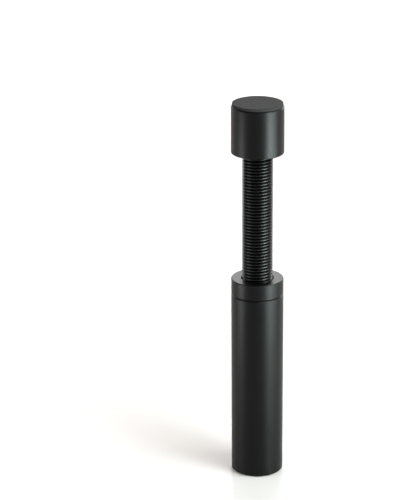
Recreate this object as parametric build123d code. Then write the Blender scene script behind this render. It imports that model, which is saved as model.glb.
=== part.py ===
from build123d import *
import os

# Screw-jack support post: a barrel on a magnetic foot, a lock ring, and a threaded rod with a padded cap.
# Millimetres, +Z up. The origin is the centre of the foot, on the surface that the post stands on.

# Post
post_diameter = 20.5        # barrel, lock ring and cap are one diameter
barrel_length = 75.0
ring_height = 6.5
exposed_thread = 51.0       # from the lock ring to the cap, as the post is set here
cap_height = 18.5
edge_chamfer = 0.3          # broken edges of the turned pieces
seam_chamfer = 0.45         # the two edges that meet where the ring sits on the barrel

# Thread of the rod, right-handed
thread_diameter = 12.0
thread_pitch = 1.25
thread_clearance = 0.05     # each side, between the rod and a tapped hole
lead_in = 0.47              # countersink at the mouth of a tapped hole
rod_end_chamfer = 0.8
cap_socket_depth = 12.0

# Barrel inside
neck_length = 8.0           # tapped neck at the top of the barrel
stop_lip = 1.1              # how far the neck stands in from the bore
turns_to_stop = 6           # turns left before the guide bush meets the neck
stop_gap = 0.1              # left between bush and neck after those turns

# Guide bush and the shouldered screw that holds it on the rod
bush_height = 4.0
bush_clearance = 0.1        # each side, in the bore
bush_web = 2.2              # what the screw's head holds
bush_play = 0.05            # above and below the web, and round the shoulder
screw_diameter = 4.0
screw_clearance = 0.03      # each side, in the rod
screw_reach = 8.0           # thread in the rod
screw_hole_spare = 1.5      # hole left empty past the screw's end
shoulder_diameter = 5.0
head_diameter = 8.4
head_height = 1.6
head_clearance = 0.3        # each side, in the bush
hex_key = 2.5               # across flats
hex_depth = 0.9

# Rubber pads and foot magnet
top_pad_thickness = 1.2
top_pad_inset = 0.42        # in from the cap's side
top_pad_chamfer = 0.25
top_pad_foot_chamfer = 0.5  # leaves a groove round the pad, above the cap
base_pad_chamfer = 0.25
base_pad_thickness = 1.2
base_pad_proud = 0.4        # stands below the barrel's rim
base_pad_rim = 1.25         # barrel wall round the pad
magnet_thickness = 3.0
magnet_ledge = 0.5          # step that the magnet seats against
glue_gap = 0.05             # round the magnet and the base pad

# Heights
rim = base_pad_proud
magnet_bottom = base_pad_thickness
magnet_top = magnet_bottom + magnet_thickness
barrel_top = rim + barrel_length
neck_bottom = barrel_top - neck_length
ring_top = barrel_top + ring_height
cap_bottom = ring_top + exposed_thread
socket_top = cap_bottom + cap_socket_depth
cap_top = cap_bottom + cap_height
web_top = neck_bottom - stop_gap - turns_to_stop * thread_pitch
rod_end = web_top + bush_play
web_bottom = web_top - bush_web
head_top = web_bottom - bush_play

# Radii
post_radius = post_diameter / 2
thread_radius = thread_diameter / 2
tapped_radius = thread_radius + thread_clearance
bore_radius = thread_radius + stop_lip
pocket_radius = bore_radius + magnet_ledge
recess_radius = post_radius - base_pad_rim
screw_radius = screw_diameter / 2
shoulder_radius = shoulder_diameter / 2
head_radius = head_diameter / 2


def turned(*outline):
    """A piece turned about the post's axis, from (radius, height) points."""
    return revolve(make_face(Plane.XZ * Polyline(*outline, close=True)), Axis.Z)


def barrel():
    """Bored from below up to a tapped neck, with the foot's pocket and recess at its open end."""
    return turned(
        (recess_radius, rim),
        (post_radius - edge_chamfer, rim),
        (post_radius, rim + edge_chamfer),
        (post_radius, barrel_top - seam_chamfer),
        (post_radius - seam_chamfer, barrel_top),
        (tapped_radius + lead_in, barrel_top),
        (tapped_radius, barrel_top - lead_in),
        (tapped_radius, neck_bottom),
        (bore_radius, neck_bottom),
        (bore_radius, magnet_top),
        (pocket_radius, magnet_top),
        (pocket_radius, magnet_bottom),
        (recess_radius, magnet_bottom),
    )


def lock_ring():
    """Plain ring that runs on the rod and jams against the barrel."""
    return turned(
        (tapped_radius, barrel_top + lead_in),
        (tapped_radius + lead_in, barrel_top),
        (post_radius - seam_chamfer, barrel_top),
        (post_radius, barrel_top + seam_chamfer),
        (post_radius, ring_top - edge_chamfer),
        (post_radius - edge_chamfer, ring_top),
        (tapped_radius + lead_in, ring_top),
        (tapped_radius, ring_top - lead_in),
    )


def threaded_rod():
    """Rod at its thread's crest diameter, with a hole in its lower end for the bush's screw."""
    hole_radius = screw_radius + screw_clearance
    hole_top = rod_end + screw_reach + screw_hole_spare
    return turned(
        (hole_radius, rod_end),
        (thread_radius - rod_end_chamfer, rod_end),
        (thread_radius, rod_end + rod_end_chamfer),
        (thread_radius, socket_top - rod_end_chamfer),
        (thread_radius - rod_end_chamfer, socket_top),
        (0, socket_top),
        (0, hole_top),
        (hole_radius, hole_top),
    )


def cap():
    """Head of the jack, with a blind socket that the rod is fixed in."""
    return turned(
        (0, socket_top),
        (tapped_radius, socket_top),
        (tapped_radius, cap_bottom + lead_in),
        (tapped_radius + lead_in, cap_bottom),
        (post_radius - edge_chamfer, cap_bottom),
        (post_radius, cap_bottom + edge_chamfer),
        (post_radius, cap_top - edge_chamfer),
        (post_radius - edge_chamfer, cap_top),
        (0, cap_top),
    )


def top_pad():
    """Rubber disc on the cap, with its edges eased above and below."""
    radius = post_radius - top_pad_inset
    pad_top = cap_top + top_pad_thickness
    return turned(
        (0, cap_top),
        (radius - top_pad_foot_chamfer, cap_top),
        (radius, cap_top + top_pad_foot_chamfer),
        (radius, pad_top - top_pad_chamfer),
        (radius - top_pad_chamfer, pad_top),
        (0, pad_top),
    )


def base_pad():
    """Rubber disc in the foot's recess, under the magnet."""
    radius = recess_radius - glue_gap
    return turned(
        (0, 0),
        (radius - base_pad_chamfer, 0),
        (radius, base_pad_chamfer),
        (radius, base_pad_thickness),
        (0, base_pad_thickness),
    )


def base_magnet():
    """Disc magnet that closes the bore, seated on the ledge above it."""
    radius = pocket_radius - glue_gap
    return turned(
        (0, magnet_bottom),
        (radius - edge_chamfer, magnet_bottom),
        (radius, magnet_bottom + edge_chamfer),
        (radius, magnet_top - edge_chamfer),
        (radius - edge_chamfer, magnet_top),
        (0, magnet_top),
    )


def guide_bush():
    """Bush on the rod's lower end. It slides in the bore, and stops the rod under the neck."""
    bush_bottom = web_top - bush_height
    radius = bore_radius - bush_clearance
    hole_radius = shoulder_radius + bush_play
    counterbore = head_radius + head_clearance
    return turned(
        (counterbore, bush_bottom),
        (radius - edge_chamfer, bush_bottom),
        (radius, bush_bottom + edge_chamfer),
        (radius, web_top - edge_chamfer),
        (radius - edge_chamfer, web_top),
        (hole_radius, web_top),
        (hole_radius, web_bottom),
        (counterbore, web_bottom),
    )


def bush_screw():
    """Shouldered screw: its shoulder meets the rod's end, and its head carries the bush."""
    head_bottom = head_top - head_height
    screw_end = rod_end + screw_reach
    blank = turned(
        (0, head_bottom),
        (head_radius, head_bottom),
        (head_radius, head_top),
        (shoulder_radius, head_top),
        (shoulder_radius, rod_end),
        (screw_radius, rod_end),
        (screw_radius, screw_end - edge_chamfer),
        (screw_radius - edge_chamfer, screw_end),
        (0, screw_end),
    )
    key = Pos(0, 0, head_bottom) * RegularPolygon(hex_key / 2, 6, major_radius=False)
    return blank - extrude(key, hex_depth)


pieces = {
    "barrel": barrel(),
    "lock_ring": lock_ring(),
    "threaded_rod": threaded_rod(),
    "cap": cap(),
    "top_pad": top_pad(),
    "base_pad": base_pad(),
    "base_magnet": base_magnet(),
    "guide_bush": guide_bush(),
    "bush_screw": bush_screw(),
}

os.makedirs("parts", exist_ok=True)
for name, piece in pieces.items():
    export_step(piece, f"parts/{name}.step")
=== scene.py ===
import math

import bmesh
import bpy
from mathutils import Euler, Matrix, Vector


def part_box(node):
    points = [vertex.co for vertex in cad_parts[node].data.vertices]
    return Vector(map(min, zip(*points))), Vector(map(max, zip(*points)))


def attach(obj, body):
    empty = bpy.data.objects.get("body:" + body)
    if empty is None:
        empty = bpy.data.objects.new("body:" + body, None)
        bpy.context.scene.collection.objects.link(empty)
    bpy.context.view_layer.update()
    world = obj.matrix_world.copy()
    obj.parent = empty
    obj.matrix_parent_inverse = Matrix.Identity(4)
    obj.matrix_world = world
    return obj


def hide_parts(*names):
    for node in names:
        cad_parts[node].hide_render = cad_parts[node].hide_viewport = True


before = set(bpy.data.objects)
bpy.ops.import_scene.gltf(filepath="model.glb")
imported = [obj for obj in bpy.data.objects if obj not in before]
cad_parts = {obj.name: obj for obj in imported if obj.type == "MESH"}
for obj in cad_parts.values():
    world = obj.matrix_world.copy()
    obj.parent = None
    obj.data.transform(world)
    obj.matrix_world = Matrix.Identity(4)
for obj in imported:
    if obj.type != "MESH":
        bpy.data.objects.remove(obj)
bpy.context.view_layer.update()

# Looks of a black screw-jack support post: turned pieces, a real thread, rubber pads, floor, light, camera.
# Metres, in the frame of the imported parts: +Z up, with the origin on the floor under the post.

mm = 0.001

# Sizes of the turned pieces
edge_chamfer = 0.3 * mm     # broken edges
seam_chamfer = 0.45 * mm    # the two edges that meet where the ring sits on the barrel
edge_round = 0.05 * mm      # what is left sharp by the chamfer is eased by this much
lead_in = 0.47 * mm         # countersink at the mouth of a tapped hole
seat_gap = 0.01 * mm        # under the ring, so that it turns clear of the barrel
thread_clearance = 0.05 * mm
glue_gap = 0.05 * mm        # round the magnet and the base pad

# Eased edges of the rubber pads
top_pad_foot_ease = 0.5 * mm
top_pad_ease = 0.25 * mm
base_pad_ease = 0.25 * mm

# Thread of the rod, right-handed
pitch = 1.25 * mm
thread_angle = 60           # degrees between the flanks
crest_radius = 0.2 * mm

# Inside of the barrel and the rod
neck_length = 8.0 * mm
bore_radius = 7.1 * mm
screw_hole_radius = 2.03 * mm
screw_hole_depth = 9.5 * mm
rod_end_chamfer = 0.8 * mm

# Fineness of the meshes
segments = 192              # round the axis of a turned piece
steps_per_turn = 72         # of the thread
sharp_angle = 35            # degrees: a sharper bend between two faces keeps a hard edge
weld = 1e-4 * mm            # points closer than this are one


# Outlines and meshes

def rounded(outline):
    """The outline with its eased corners as small curves. A point is (radius, height, ease)."""
    arc_steps = 4
    support = 1.5           # times the ease: a loop here, beside the curve, keeps the shading of a face flat
    points = []
    for index, (radius, height, ease) in enumerate(outline):
        corner = Vector((radius, height))
        if ease == 0:
            points.append(corner)
            continue
        before = (Vector(outline[index - 1][:2]) - corner).normalized()
        after = (Vector(outline[(index + 1) % len(outline)][:2]) - corner).normalized()
        points.append(corner + before * support * ease)
        for step in range(arc_steps + 1):
            t = step / arc_steps
            points.append(corner + before * ease * (1 - t) ** 2 + after * ease * t ** 2)
        points.append(corner + after * support * ease)
    return points


def broken_edge(radius, height, side, chamfer=edge_chamfer):
    """The two corners of a broken outer edge, in order from the face on this side (1 top, -1 foot)."""
    return [
        (radius - chamfer, height, edge_round),
        (radius, height - side * chamfer, edge_round),
    ]


def countersink(radius, height, side):
    """The two corners of a countersunk mouth, in order from the hole out to the face on this side."""
    return [
        (radius, height - side * lead_in, 0),
        (radius + lead_in, height, edge_round),
    ]


def turned_mesh(name, outline, closed):
    """A mesh turned about the axis. A closed outline is a ring, an open one starts and ends on the axis."""
    form = bmesh.new()
    corners = [form.verts.new((point.x, 0, point.y)) for point in rounded(outline)]
    pairs = list(zip(corners, corners[1:]))
    if closed:
        pairs.append((corners[-1], corners[0]))
    lines = [form.edges.new(pair) for pair in pairs]
    bmesh.ops.spin(
        form, geom=corners + lines, axis=(0, 0, 1), cent=(0, 0, 0),
        angle=2 * math.pi, steps=segments, use_merge=True,
    )
    bmesh.ops.remove_doubles(form, verts=form.verts, dist=weld)
    bmesh.ops.recalc_face_normals(form, faces=form.faces)
    mesh = bpy.data.meshes.new(name)
    form.to_mesh(mesh)
    form.free()
    return mesh


def add_piece(name, mesh, body, node, material):
    """Puts a finished mesh in the scene, on its body, in the place of its node."""
    mesh.shade_smooth()
    mesh.set_sharp_from_angle(angle=math.radians(sharp_angle))
    piece = bpy.data.objects.new(name, mesh)
    bpy.context.scene.collection.objects.link(piece)
    mesh.materials.append(material)
    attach(piece, body)
    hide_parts(node)


# Materials

colour_a, colour_b, mixed = 6, 7, 2     # sockets of a mix node, where it mixes colours


def new_material(name, **values):
    """A material with these values on its shader's sockets, and its node tree and shader."""
    material = bpy.data.materials.new(name)
    material.use_nodes = True
    shader = material.node_tree.nodes["Principled BSDF"]
    for socket, value in values.items():
        shader.inputs[socket.replace("_", " ")].default_value = value
    return material, material.node_tree, shader


def add_node(tree, kind, inputs=None, **settings):
    """A node with these settings. An input is a constant or another node's output."""
    node = tree.nodes.new(kind)
    for key, value in settings.items():
        setattr(node, key, value)
    for key, value in (inputs or {}).items():
        if isinstance(value, bpy.types.NodeSocket):
            tree.links.new(value, node.inputs[key])
        else:
            node.inputs[key].default_value = value
    return node


def noise(tree, waves, detail=2.0):
    """Noise at this many waves a metre, fixed to the piece."""
    place = add_node(tree, "ShaderNodeTexCoord")
    return add_node(
        tree, "ShaderNodeTexNoise",
        {"Vector": place.outputs["Object"], "Scale": waves, "Detail": detail},
    ).outputs["Fac"]


def lathe_marks(tree, waves, detail=3.0):
    """Fine rings left by turning: they follow the height on a side and the radius on an end face."""
    place = add_node(tree, "ShaderNodeTexCoord")
    parts = add_node(tree, "ShaderNodeSeparateXYZ", {0: place.outputs["Object"]})
    flat = add_node(tree, "ShaderNodeCombineXYZ", {0: parts.outputs[0], 1: parts.outputs[1]})
    radius = add_node(tree, "ShaderNodeVectorMath", {0: flat.outputs[0]}, operation="LENGTH")
    along = add_node(tree, "ShaderNodeMath", {0: parts.outputs[2], 1: radius.outputs["Value"]})
    return add_node(
        tree, "ShaderNodeTexNoise",
        {"W": along.outputs[0], "Scale": waves, "Detail": detail}, noise_dimensions="1D",
    ).outputs["Fac"]


def spread(tree, factor, low, high):
    """A noise factor taken to a range."""
    noise_low, noise_high = 0.3, 0.7    # most of a noise factor lies between these
    return add_node(
        tree, "ShaderNodeMapRange",
        {"Value": factor, "From Min": noise_low, "From Max": noise_high, "To Min": low, "To Max": high},
    ).outputs["Result"]


def shade(tree, factor, dark, light):
    """A noise factor taken to a colour between these two."""
    return add_node(
        tree, "ShaderNodeMix", {"Factor": factor, colour_a: (*dark, 1), colour_b: (*light, 1)},
        data_type="RGBA",
    ).outputs[mixed]


def relief(tree, height, depth, below=None):
    """A bump of this depth in metres, on top of another one."""
    inputs = {"Height": height, "Strength": 1.0, "Distance": depth}
    if below is not None:
        inputs["Normal"] = below
    return add_node(tree, "ShaderNodeBump", inputs).outputs["Normal"]


def link_surface(tree, shader, colour, roughness, normal):
    """Links a material's colour, roughness and relief to its shader."""
    tree.links.new(colour, shader.inputs["Base Color"])
    tree.links.new(roughness, shader.inputs["Roughness"])
    tree.links.new(normal, shader.inputs["Normal"])


def anodised(name, dark, light, smooth, rough, **values):
    """Black anodised aluminium, with faint lathe marks and the grain of blasting."""
    material, tree, shader = new_material(name, **values)
    grain = noise(tree, waves=9000.0)
    mottle = noise(tree, waves=2200.0)
    marks = lathe_marks(tree, waves=5000.0)
    cloud = noise(tree, waves=60.0)
    turned = relief(tree, marks, depth=0.002 * mm)
    blasted = relief(tree, grain, depth=0.004 * mm, below=turned)
    link_surface(tree, shader, shade(tree, cloud, dark, light), spread(tree, mottle, smooth, rough), blasted)
    return material


def rubber(name, dark, light, smooth, rough):
    """Matt rubber with a fine moulded grain."""
    material, tree, shader = new_material(name, Specular_IOR_Level=0.05)
    grain = noise(tree, waves=5000.0, detail=4.0)
    cloud = noise(tree, waves=150.0)
    moulded = relief(tree, grain, depth=0.02 * mm)
    link_surface(tree, shader, shade(tree, cloud, dark, light), spread(tree, grain, smooth, rough), moulded)
    return material


def plated(name, dark, light, smooth, rough):
    """Bright plating on metal, with a faint grain."""
    material, tree, shader = new_material(name, Metallic=1.0)
    grain = noise(tree, waves=3000.0, detail=3.0)
    cloud = noise(tree, waves=250.0)
    uneven = relief(tree, grain, depth=0.002 * mm)
    link_surface(tree, shader, shade(tree, cloud, dark, light), spread(tree, grain, smooth, rough), uneven)
    return material


def nylon(name, dark, light, smooth, rough):
    """Natural nylon, a little waxy, with lathe marks."""
    material, tree, shader = new_material(name, Specular_IOR_Level=0.45)
    marks = lathe_marks(tree, waves=4000.0)
    cloud = noise(tree, waves=300.0)
    turned = relief(tree, marks, depth=0.004 * mm)
    link_surface(tree, shader, shade(tree, cloud, dark, light), spread(tree, marks, smooth, rough), turned)
    return material


satin_black = anodised(
    "satin_black", dark=(0.0004, 0.0006, 0.0005), light=(0.0010, 0.0013, 0.0012),
    smooth=0.34, rough=0.44, Specular_IOR_Level=0.13,
)
# The thread is shinier, but its tint keeps its gloss from rising as far towards its outline
thread_black = anodised(
    "thread_black", dark=(0.0235, 0.025, 0.025), light=(0.0275, 0.029, 0.029),
    smooth=0.26, rough=0.34, Metallic=1.0, Specular_Tint=(0.67, 0.67, 0.67, 1),
)
black_rubber = rubber(
    "black_rubber", dark=(0.021, 0.021, 0.022), light=(0.030, 0.030, 0.031), smooth=0.62, rough=0.85,
)
nickel = plated("nickel", dark=(0.58, 0.56, 0.52), light=(0.66, 0.65, 0.62), smooth=0.16, rough=0.30)
zinc = plated("zinc", dark=(0.46, 0.47, 0.48), light=(0.55, 0.55, 0.56), smooth=0.26, rough=0.42)
white_nylon = nylon("white_nylon", dark=(0.68, 0.66, 0.60), light=(0.76, 0.75, 0.70), smooth=0.38, rough=0.52)


# Turned pieces

def side_radius(node):
    """Outer radius of a node."""
    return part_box(node)[1].x


def heights(node):
    """Heights of a node's lowest and highest points."""
    low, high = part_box(node)
    return low.z, high.z


rod_radius = side_radius("threaded_rod")
tapped_radius = rod_radius + thread_clearance


def make_barrel():
    """Bored from below up to the tapped neck, with the foot's pocket and recess at its open end."""
    low, high = heights("barrel")
    radius = side_radius("barrel")
    magnet_low, magnet_high = heights("base_magnet")
    pocket_radius = side_radius("base_magnet") + glue_gap
    recess_radius = side_radius("base_pad") + glue_gap
    outline = [
        (recess_radius, low, edge_round),
        *broken_edge(radius, low, -1),
        *reversed(broken_edge(radius, high, 1, seam_chamfer)),
        *reversed(countersink(tapped_radius, high, 1)),
        (tapped_radius, high - neck_length, 0),
        (bore_radius, high - neck_length, 0),
        (bore_radius, magnet_high, 0),
        (pocket_radius, magnet_high, 0),
        (pocket_radius, magnet_low, 0),
        (recess_radius, magnet_low, 0),
    ]
    mesh = turned_mesh("barrel_turned", outline, closed=True)
    add_piece("barrel_turned", mesh, "stand", "barrel", satin_black)


def make_lock_ring():
    """Plain ring with a countersunk hole on both sides."""
    seat, high = heights("lock_ring")
    low = seat + seat_gap
    radius = side_radius("lock_ring")
    outline = [
        *countersink(tapped_radius, low, -1),
        *broken_edge(radius, low, -1, seam_chamfer),
        *reversed(broken_edge(radius, high, 1)),
        *reversed(countersink(tapped_radius, high, 1)),
    ]
    mesh = turned_mesh("lock_ring_turned", outline, closed=True)
    add_piece("lock_ring_turned", mesh, "ring", "lock_ring", satin_black)


def make_cap():
    """Head of the jack, with the blind socket that holds the rod."""
    low, high = heights("cap")
    radius = side_radius("cap")
    socket_top = heights("threaded_rod")[1]
    outline = [
        (0, socket_top, 0),
        (tapped_radius, socket_top, 0),
        *countersink(tapped_radius, low, -1),
        *broken_edge(radius, low, -1),
        *reversed(broken_edge(radius, high, 1)),
        (0, high, 0),
    ]
    mesh = turned_mesh("cap_turned", outline, closed=False)
    add_piece("cap_turned", mesh, "screw", "cap", satin_black)


def make_top_pad():
    """Rubber disc on the cap, with a groove under its rim."""
    low, high = heights("top_pad")
    radius = side_radius("top_pad")
    outline = [
        (0, low, 0),
        (radius, low, top_pad_foot_ease),
        (radius, high, top_pad_ease),
        (0, high, 0),
    ]
    mesh = turned_mesh("top_pad_moulded", outline, closed=False)
    add_piece("top_pad_moulded", mesh, "screw", "top_pad", black_rubber)


def make_base_pad():
    """Rubber disc that the post stands on."""
    low, high = heights("base_pad")
    radius = side_radius("base_pad")
    outline = [
        (0, low, 0),
        (radius, low, base_pad_ease),
        (radius, high, edge_round),
        (0, high, 0),
    ]
    mesh = turned_mesh("base_pad_moulded", outline, closed=False)
    add_piece("base_pad_moulded", mesh, "stand", "base_pad", black_rubber)


# Threaded rod

def thread_form():
    """One pitch of the thread as (share of the pitch, radius), from the middle of one root to the next."""
    half_angle = math.radians(thread_angle / 2)
    depth = pitch / 2 / math.tan(half_angle) - crest_radius * (1 / math.sin(half_angle) - 1)
    arc_steps = 6
    form = [(0.0, rod_radius - depth)]
    for step in range(arc_steps + 1):
        tilt = (math.pi / 2 - half_angle) * (2 * step / arc_steps - 1)
        share = 0.5 + crest_radius * math.sin(tilt) / pitch
        form.append((share, rod_radius - crest_radius * (1 - math.cos(tilt))))
    return form


def helix_mesh(name, low, high):
    """The thread as a true helix that runs past both ends, where the end chamfers draw its radius in."""
    form = thread_form()
    spare_turns = 2
    start = low - spare_turns * pitch
    steps = int((high - low) / pitch + 2 * spare_turns) * steps_per_turn
    points = []
    for step in range(steps + steps_per_turn):
        turn = step / steps_per_turn
        angle = 2 * math.pi * turn
        for share, radius in form:
            height = start + (turn + share) * pitch
            end_radius = rod_radius - rod_end_chamfer + min(height - low, high - height)
            radius = max(min(radius, end_radius), screw_hole_radius)
            points.append((radius * math.cos(angle), radius * math.sin(angle), height))
    faces = []
    for step in range(steps - 1):
        row = [step * len(form) + k for k in range(len(form))] + [(step + steps_per_turn) * len(form)]
        for k in range(len(form)):
            faces.append((row[k], row[k] + len(form), row[k + 1] + len(form), row[k + 1]))
    mesh = bpy.data.meshes.new(name)
    mesh.from_pydata(points, [], faces)
    return mesh


def cut_flat(form, height, side):
    """Cuts off what lies past this height, on this side (1 above, -1 below), and gives the open edge."""
    snap = 1e-5 * mm        # points this close to the cut are taken as on it
    bmesh.ops.bisect_plane(
        form, geom=form.verts[:] + form.edges[:] + form.faces[:], dist=snap,
        plane_co=(0, 0, height), plane_no=(0, 0, side), clear_outer=True,
    )
    return [
        edge for edge in form.edges
        if edge.is_boundary and all(abs(vertex.co.z - height) < weld for vertex in edge.verts)
    ]


def carry_on(form, edge_loop, radius, height):
    """Carries a round open edge on to this radius and height, and gives the new edge."""
    made = bmesh.ops.extrude_edge_only(form, edges=edge_loop)["geom"]
    for vertex in [item for item in made if isinstance(item, bmesh.types.BMVert)]:
        scale = radius / math.hypot(vertex.co.x, vertex.co.y)
        vertex.co = (vertex.co.x * scale, vertex.co.y * scale, height)
    return [item for item in made if isinstance(item, bmesh.types.BMEdge) and item.is_boundary]


def make_rod_thread():
    """The rod with its thread, cut flat at both ends, and with the hole for the bush's screw."""
    low, high = heights("threaded_rod")
    mesh = helix_mesh("rod_thread", low, high)
    form = bmesh.new()
    form.from_mesh(mesh)
    foot = cut_flat(form, low, -1)
    foot = carry_on(form, foot, screw_hole_radius, low)
    foot = carry_on(form, foot, screw_hole_radius, low + screw_hole_depth)
    bmesh.ops.edgeloop_fill(form, edges=foot)
    bmesh.ops.edgeloop_fill(form, edges=cut_flat(form, high, 1))
    loose = [vertex for vertex in form.verts if not vertex.link_faces]
    bmesh.ops.delete(form, geom=loose, context="VERTS")
    bmesh.ops.recalc_face_normals(form, faces=form.faces)
    form.to_mesh(mesh)
    form.free()
    add_piece("rod_thread", mesh, "screw", "threaded_rod", thread_black)


make_barrel()
make_lock_ring()
make_cap()
make_top_pad()
make_base_pad()
make_rod_thread()

# The inner pieces keep their meshes and get a finish
inner_finish = {"base_magnet": nickel, "guide_bush": white_nylon, "bush_screw": zinc}
for name, material in inner_finish.items():
    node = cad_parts[name]
    node.data.materials.clear()
    node.data.materials.append(material)


# Floor

def seen_rays(tree):
    """1 for what the camera, gloss and glass see, and 0 for what lights the scene."""
    path = add_node(tree, "ShaderNodeLightPath")
    seen = path.outputs["Is Camera Ray"]
    for ray in ("Is Glossy Ray", "Is Transmission Ray"):
        either = add_node(tree, "ShaderNodeMath", {0: seen, 1: path.outputs[ray]}, operation="MAXIMUM")
        seen = either.outputs[0]
    return seen


def floor_glow(tree):
    """Strength of the floor's glow: none in an oval round the post, where the lamps reach, full far off."""
    oval_scale = (1.0, 0.35, 0.0)       # the oval is long from the camera's side to the back
    oval_shift = (0, 0.05, 0)           # after the scale, so that it lies a little to the camera's side
    glow_start, glow_full = 0.072, 0.32
    glow_strength = 0.5
    place = add_node(tree, "ShaderNodeTexCoord")
    oval = add_node(
        tree, "ShaderNodeMapping",
        {"Vector": place.outputs["Object"], "Location": oval_shift, "Scale": oval_scale},
    )
    distance = add_node(tree, "ShaderNodeVectorMath", {0: oval.outputs["Vector"]}, operation="LENGTH")
    glow = add_node(tree, "ShaderNodeMapRange", {
        "Value": distance.outputs["Value"], "From Min": glow_start, "From Max": glow_full,
        "To Min": 0.0, "To Max": glow_strength,
    })
    return add_node(
        tree, "ShaderNodeMath", {0: glow.outputs["Result"], 1: seen_rays(tree)}, operation="MULTIPLY",
    ).outputs[0]


def make_floor():
    """Large glossy floor, white also where the lamps don't reach."""
    half = 6.0
    corners = [(-half, -half, 0), (half, -half, 0), (half, half, 0), (-half, half, 0)]
    mesh = bpy.data.meshes.new("floor")
    mesh.from_pydata(corners, [], [(0, 1, 2, 3)])
    floor = bpy.data.objects.new("floor", mesh)
    bpy.context.scene.collection.objects.link(floor)
    material, tree, shader = new_material(
        "white_floor", Base_Color=(0.62, 0.62, 0.62, 1), Roughness=0.12, Specular_IOR_Level=0.06,
        Emission_Color=(1, 1, 1, 1),
    )
    tree.links.new(floor_glow(tree), shader.inputs["Emission Strength"])
    mesh.materials.append(material)


make_floor()


# Light

neutral = (1.0, 1.0, 1.0)
cool_green = (0.86, 1.0, 0.98)
cool_blue = (0.95, 0.96, 1.0)


def add_panel(name, place, target, width, height, radiance, colour):
    """Soft panel of this size that faces the target."""
    lamp = bpy.data.lights.new(name, "AREA")
    lamp.shape = "RECTANGLE"
    lamp.size = width
    lamp.size_y = height
    lamp.energy = radiance * math.pi * width * height
    lamp.color = colour
    panel = bpy.data.objects.new(name, lamp)
    panel.location = place
    panel.rotation_euler = (Vector(target) - Vector(place)).to_track_quat("-Z", "Y").to_euler()
    panel.visible_camera = False
    bpy.context.scene.collection.objects.link(panel)
    return panel


def add_standing_panel(name, turn, distance, low, high, width, radiance, colour):
    """Upright panel that faces the post. The turn is in degrees, from the camera's side towards +X."""
    angle = math.radians(turn)
    middle = (low + high) / 2
    place = (distance * math.sin(angle), -distance * math.cos(angle), middle)
    add_panel(name, place, (0, 0, middle), width, high - low, radiance, colour)


def add_gloss_panel(name, place, aim, size, radiance):
    """Square panel that faces the post at its aim's height, shows in gloss only and lights nothing."""
    panel = add_panel(name, place, (0, 0, aim), size, size, radiance, neutral)
    panel.visible_diffuse = False


# Low panels stand in the gloss of the post's sides, as the camera looks down on it
panel_low, panel_high = 0.006, 0.095
add_standing_panel(
    "key", turn=50, distance=0.25, low=panel_low, high=panel_high, width=0.086,
    radiance=34.0, colour=cool_green,
)
add_standing_panel(
    "key_side", turn=65, distance=0.25, low=panel_low, high=panel_high, width=0.155,
    radiance=19.5, colour=cool_green,
)
add_standing_panel(
    "fill", turn=-74, distance=0.175, low=panel_low, high=panel_high, width=0.07,
    radiance=12.2, colour=cool_blue,
)

# High panels give the shadow, and the gloss of the upward faces
add_standing_panel(
    "shadow_key", turn=58, distance=0.45, low=0.3, high=0.65, width=0.6, radiance=6.3, colour=neutral,
)
add_panel(
    "back", place=(0, 0.75, 0.38), target=(0, 0, 0.1), width=0.6, height=0.45, radiance=4.2, colour=neutral,
)

# Small panels stand in the gloss of the thread's crests, of the broken edges and of the countersink
add_gloss_panel("glint", place=(0.277, -0.187, 0.401), aim=0.1, size=0.15, radiance=36.0)
add_gloss_panel("left_glint", place=(-0.352, -0.085, 0.377), aim=0.1, size=0.15, radiance=10.0)
add_gloss_panel("side", place=(0.342, -0.024, 0.59), aim=0.1, size=0.2, radiance=12.0)
add_gloss_panel("rim_right", place=(0.366, 0.475, 0.263), aim=0.08, size=0.2, radiance=10.0)
add_gloss_panel("rim_left", place=(-0.366, 0.475, 0.263), aim=0.08, size=0.2, radiance=3.0)


def make_world():
    """Studio: white walls and a darker ceiling for the camera and the gloss, and a dim, warm fill light."""
    fill_light = (0.515, 0.45, 0.39, 1)
    wall_white, ceiling_grey = 1.0, 0.3
    wall_end, ceiling_start = 0.5, 0.9  # sines of the angles above the horizon
    world = bpy.data.worlds.new("studio")
    world.use_nodes = True
    tree = world.node_tree
    direction = add_node(tree, "ShaderNodeTexCoord")
    height = add_node(tree, "ShaderNodeSeparateXYZ", {0: direction.outputs["Generated"]})
    studio = add_node(tree, "ShaderNodeMapRange", {
        "Value": height.outputs[2], "From Min": wall_end, "From Max": ceiling_start,
        "To Min": wall_white, "To Max": ceiling_grey,
    }, interpolation_type="SMOOTHSTEP")
    colour = add_node(tree, "ShaderNodeMix", {
        "Factor": seen_rays(tree), colour_a: fill_light, colour_b: studio.outputs["Result"],
    }, data_type="RGBA")
    tree.links.new(colour.outputs[mixed], tree.nodes["Background"].inputs["Color"])
    bpy.context.scene.world = world


make_world()


# Camera

def make_camera():
    """Camera found from the edges of the post in a picture of 420 by 500 pixels."""
    focal_length = 141.4    # on the 36 mm long side of the picture
    place = (-18.45 * mm, -719.2 * mm, 352.4 * mm)
    pitch_down = math.radians(19.81)
    roll = math.radians(-0.391)
    lens = bpy.data.cameras.new("camera")
    lens.lens = focal_length
    camera = bpy.data.objects.new("camera", lens)
    camera.location = place
    aim = Euler((math.pi / 2 - pitch_down, 0, 0)).to_matrix() @ Euler((0, 0, roll)).to_matrix()
    camera.rotation_euler = aim.to_euler()
    bpy.context.scene.collection.objects.link(camera)
    bpy.context.scene.camera = camera


make_camera()
bpy.context.scene.view_settings.view_transform = "Standard"
